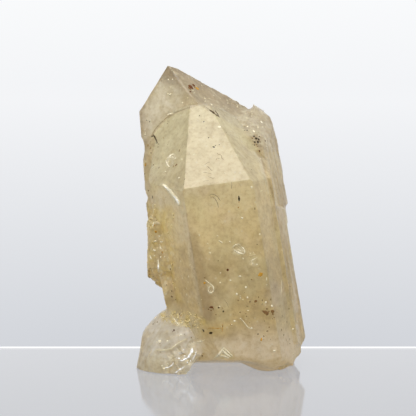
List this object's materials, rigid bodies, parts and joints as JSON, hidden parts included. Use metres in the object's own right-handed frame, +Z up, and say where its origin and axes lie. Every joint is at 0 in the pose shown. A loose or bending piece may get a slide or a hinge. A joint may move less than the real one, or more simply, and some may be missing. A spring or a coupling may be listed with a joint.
{
  "type": "quartz crystal",
  "caption": "Pale smoky-straw quartz crystal cluster of intergrown leaning prisms with pointed tips, a broken side block and broken feet; stands upright as a display specimen",
  "frame": {"origin": "middle of the bounding box in X and Y, at the level of the ground faces that it stands on", "axes": "+Z up along the longest extent, -Y towards the broad front prism face, +X to the flank with the thin blades; the crystals' c axis leans 9.5 degrees towards -X"},
  "size_m": [0.0516, 0.0402, 0.0907],
  "materials": {
    "quartz": "see-through pale smoky straw quartz, growth faces softly glossy, broken surfaces glassy, with veils, specks and iron stains sealed in"
  },
  "bodies": {
    "root": {"quartz_crystal": "quartz"}
  },
  "joints": []
}
